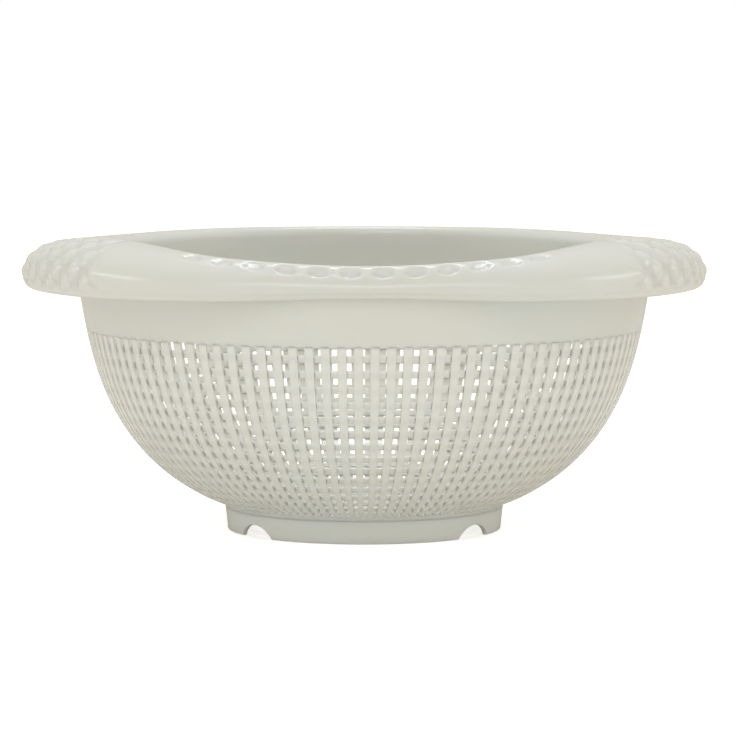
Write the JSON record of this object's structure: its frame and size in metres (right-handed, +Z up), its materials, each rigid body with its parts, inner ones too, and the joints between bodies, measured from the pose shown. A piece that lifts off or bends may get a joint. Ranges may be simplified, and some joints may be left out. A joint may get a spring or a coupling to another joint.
{
  "type": "colander",
  "caption": "Round kitchen colander with an open lattice bowl, a hollow wavy rim with two grips and a pouring lip, and a notched ring foot.",
  "frame": {"origin": "centre of the foot ring's underside, on the bowl's axis", "axes": "+Z up along the bowl's axis, +X through the right grip, -Y through the pouring lip at the front"},
  "size_m": [0.32, 0.282, 0.1403],
  "materials": {
    "cream_plastic": "semi-gloss moulded polypropylene, cream"
  },
  "bodies": {
    "root": {"front_lip": "cream_plastic", "front_right_shoulder": "cream_plastic", "right_grip": "cream_plastic", "back_right_rim": "cream_plastic", "back_rim": "cream_plastic", "back_left_rim": "cream_plastic", "left_grip": "cream_plastic", "front_left_shoulder": "cream_plastic", "upper_band": "cream_plastic", "wall_ribs_front": "cream_plastic", "wall_ribs_right": "cream_plastic", "wall_ribs_back": "cream_plastic", "wall_ribs_left": "cream_plastic", "hoop_1": "cream_plastic", "hoop_2": "cream_plastic", "hoop_3": "cream_plastic", "hoop_4": "cream_plastic", "hoop_5": "cream_plastic", "hoop_6": "cream_plastic", "hoop_7": "cream_plastic", "hoop_8": "cream_plastic", "hoop_9": "cream_plastic", "hoop_10": "cream_plastic", "hoop_11": "cream_plastic", "hoop_12": "cream_plastic", "hoop_13": "cream_plastic", "hoop_14": "cream_plastic", "base_ring": "cream_plastic", "foot_ring": "cream_plastic", "floor_ribs": "cream_plastic", "floor_ring_1": "cream_plastic", "floor_ring_2": "cream_plastic", "floor_ring_3": "cream_plastic", "floor_ring_4": "cream_plastic", "floor_ring_5": "cream_plastic", "floor_ring_6": "cream_plastic", "floor_disc": "cream_plastic"}
  },
  "joints": []
}
